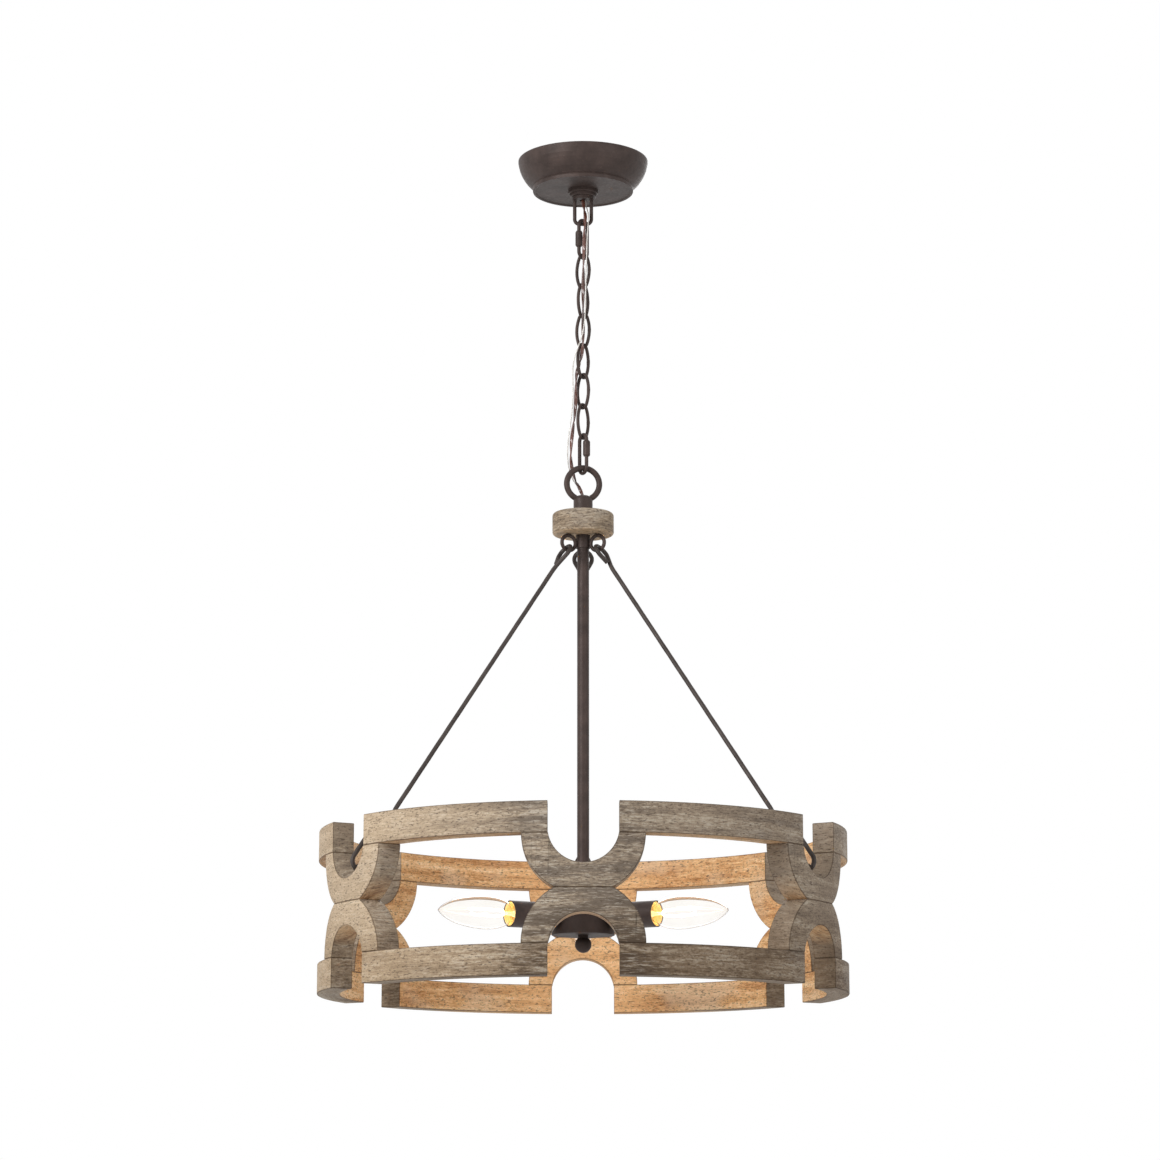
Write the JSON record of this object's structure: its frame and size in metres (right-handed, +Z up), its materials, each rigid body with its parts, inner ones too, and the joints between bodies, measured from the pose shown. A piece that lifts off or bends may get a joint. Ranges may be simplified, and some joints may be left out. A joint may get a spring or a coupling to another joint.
{
  "type": "pendant light",
  "caption": "Drum pendant light of wood bars and U-shaped pieces, hung by rods from a small wood disc on a chain under a round metal canopy, with candle bulbs on a central hub.",
  "frame": {"origin": "centre of the ceiling plane that the canopy's rim and the bracket's ends meet", "axes": "+Z up into the ceiling, -Y towards the viewer, +X to the viewer's right"},
  "size_m": [0.4998, 0.5, 0.8216],
  "materials": {
    "bronze": "satin",
    "wood": "weathered",
    "steel": "zinc plated",
    "green_screw": "satin",
    "brass": "satin",
    "cord": "gloss",
    "ground_wire": "gloss",
    "bulb_glass": "clear",
    "bulb_base": "satin",
    "socket": "matte"
  },
  "bodies": {
    "ceiling": {"mounting_bracket": "steel", "ground_screw": "green_screw", "hollow_nipple": "brass", "nipple_lock_nuts": "steel", "canopy_loop": "bronze", "lamp_cord": "cord", "ground_wire": "ground_wire"},
    "canopy": {"canopy_shell": "bronze"},
    "collar": {"screw_collar": "bronze"},
    "upper_quick": {"upper_quick_link": "bronze"},
    "upper_sleeve": {"upper_link_sleeve": "bronze"},
    "link_1": {"chain_link_1": "bronze"},
    "link_2": {"chain_link_2": "bronze"},
    "link_3": {"chain_link_3": "bronze"},
    "link_4": {"chain_link_4": "bronze"},
    "link_5": {"chain_link_5": "bronze"},
    "link_6": {"chain_link_6": "bronze"},
    "lower_quick": {"lower_quick_link": "bronze"},
    "lower_sleeve": {"lower_link_sleeve": "bronze"},
    "bulb_1": {"bulb_base_1": "bulb_base", "bulb_glass_1": "bulb_glass"},
    "bulb_2": {"bulb_base_2": "bulb_base", "bulb_glass_2": "bulb_glass"},
    "bulb_3": {"bulb_base_3": "bulb_base", "bulb_glass_3": "bulb_glass"},
    "finial": {"finial": "bronze"},
    "pendant": {"fixture_loop": "bronze", "wood_disc": "wood", "disc_screw_eyes": "bronze", "stem_tube": "bronze", "stem_nut": "bronze", "tie_rod_1": "bronze", "tie_rod_2": "bronze", "tie_rod_3": "bronze", "drum_screw_eyes": "bronze", "top_bars": "wood", "bottom_bars": "wood", "upper_cradle_1": "wood", "upper_cradle_2": "wood", "upper_cradle_3": "wood", "upper_cradle_4": "wood", "upper_cradle_5": "wood", "upper_cradle_6": "wood", "lower_arch_1": "wood", "lower_arch_2": "wood", "lower_arch_3": "wood", "lower_arch_4": "wood", "lower_arch_5": "wood", "lower_arch_6": "wood", "hub_body": "bronze", "hub_cover": "bronze", "socket_cover_1": "bronze", "socket_cover_2": "bronze", "socket_cover_3": "bronze", "lamp_socket_1": "socket", "lamp_socket_2": "socket", "lamp_socket_3": "socket", "socket_leads": "cord"}
  },
  "joints": [
    {"name": "canopy_drop", "type": "slide", "parent": "ceiling", "child": "canopy", "axis": [0, 0, -1], "range_m": [0, 0.028]},
    {"name": "collar_turn", "type": "hinge", "parent": "canopy", "child": "collar", "pos_m": [0, 0, -0.0333], "axis": [0, 0, 1], "continuous": true},
    {"name": "upper_quick_swing", "type": "hinge", "parent": "ceiling", "child": "upper_quick", "pos_m": [0, 0, -0.0642], "axis": [1, 0, 0], "range_deg": [-10, 10], "deforming": ["lamp_cord", "ground_wire"]},
    {"name": "upper_sleeve_travel", "type": "slide", "parent": "upper_quick", "child": "upper_sleeve", "axis": [0, 0, 1], "range_m": [0, 0.006]},
    {"name": "link_1_swing", "type": "hinge", "parent": "upper_quick", "child": "link_1", "pos_m": [0, 0, -0.09895], "axis": [0.6691, 0.7431, 0], "range_deg": [-10, 10], "deforming": ["lamp_cord", "ground_wire"]},
    {"name": "link_2_swing", "type": "hinge", "parent": "link_1", "child": "link_2", "pos_m": [0, 0, -0.1292], "axis": [0.788, -0.6157, 0], "range_deg": [-10, 10], "deforming": ["lamp_cord", "ground_wire"]},
    {"name": "link_3_swing", "type": "hinge", "parent": "link_2", "child": "link_3", "pos_m": [0, 0, -0.15965], "axis": [0.6157, 0.788, 0], "range_deg": [-10, 10], "deforming": ["lamp_cord", "ground_wire"]},
    {"name": "link_4_swing", "type": "hinge", "parent": "link_3", "child": "link_4", "pos_m": [0, 0, -0.1901], "axis": [0.7986, -0.6018, 0], "range_deg": [-10, 10], "deforming": ["lamp_cord", "ground_wire"]},
    {"name": "link_5_swing", "type": "hinge", "parent": "link_4", "child": "link_5", "pos_m": [0, 0, -0.22055], "axis": [0.6691, 0.7431, 0], "range_deg": [-10, 10], "deforming": ["lamp_cord", "ground_wire"]},
    {"name": "link_6_swing", "type": "hinge", "parent": "link_5", "child": "link_6", "pos_m": [0, 0, -0.251], "axis": [0.6947, -0.7193, 0], "range_deg": [-10, 10], "deforming": ["lamp_cord", "ground_wire"]},
    {"name": "lower_quick_swing", "type": "hinge", "parent": "link_6", "child": "lower_quick", "pos_m": [0, 0, -0.28145], "axis": [0.6561, 0.7547, 0], "range_deg": [-10, 10], "deforming": ["lamp_cord", "ground_wire"]},
    {"name": "lower_sleeve_travel", "type": "slide", "parent": "lower_quick", "child": "lower_sleeve", "axis": [0, 0, -1], "range_m": [0, 0.008]},
    {"name": "pendant_swing", "type": "hinge", "parent": "lower_quick", "child": "pendant", "pos_m": [0, 0, -0.3164], "axis": [0.5592, -0.829, 0], "range_deg": [-10, 10], "deforming": ["lamp_cord", "ground_wire"]},
    {"name": "bulb_1_turn", "type": "hinge", "parent": "pendant", "child": "bulb_1", "pos_m": [0, 0.075, -0.74805], "axis": [0, 1, 0], "continuous": true},
    {"name": "bulb_2_turn", "type": "hinge", "parent": "pendant", "child": "bulb_2", "pos_m": [-0.06495, -0.0375, -0.74805], "axis": [-0.866, -0.5, 0], "continuous": true},
    {"name": "bulb_3_turn", "type": "hinge", "parent": "pendant", "child": "bulb_3", "pos_m": [0.06495, -0.0375, -0.74805], "axis": [0.866, -0.5, 0], "continuous": true},
    {"name": "finial_turn", "type": "hinge", "parent": "pendant", "child": "finial", "pos_m": [0, 0, -0.76455], "axis": [0, 0, 1], "continuous": true}
  ]
}
